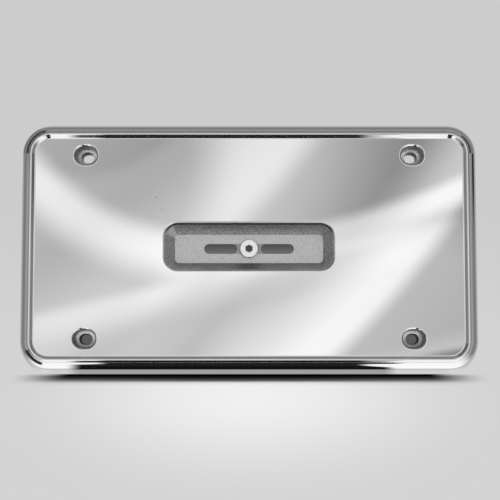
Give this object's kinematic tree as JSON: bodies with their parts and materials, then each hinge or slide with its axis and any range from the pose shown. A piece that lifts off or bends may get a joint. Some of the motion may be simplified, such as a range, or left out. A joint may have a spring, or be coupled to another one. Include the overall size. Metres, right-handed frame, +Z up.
{
  "type": "number plate holder",
  "caption": "Upright chromed number plate holder with a beaded rim, oblong screw wells and a drafted centre pocket with two mounting slots and a screw.",
  "frame": {"origin": "middle of the rear plane, on the line through the two mounting slots, where the pocket's back meets the vehicle", "axes": "+X across the holder, +Z up as it hangs on the vehicle, +Y out of its back towards the vehicle, so its face looks along -Y"},
  "size_m": [0.3336, 0.0387, 0.1822],
  "materials": {
    "bright_chrome": "polished",
    "screw_chrome": "satin"
  },
  "bodies": {
    "root": {"holder_body": "bright_chrome", "centre_screw": "screw_chrome"}
  },
  "joints": []
}
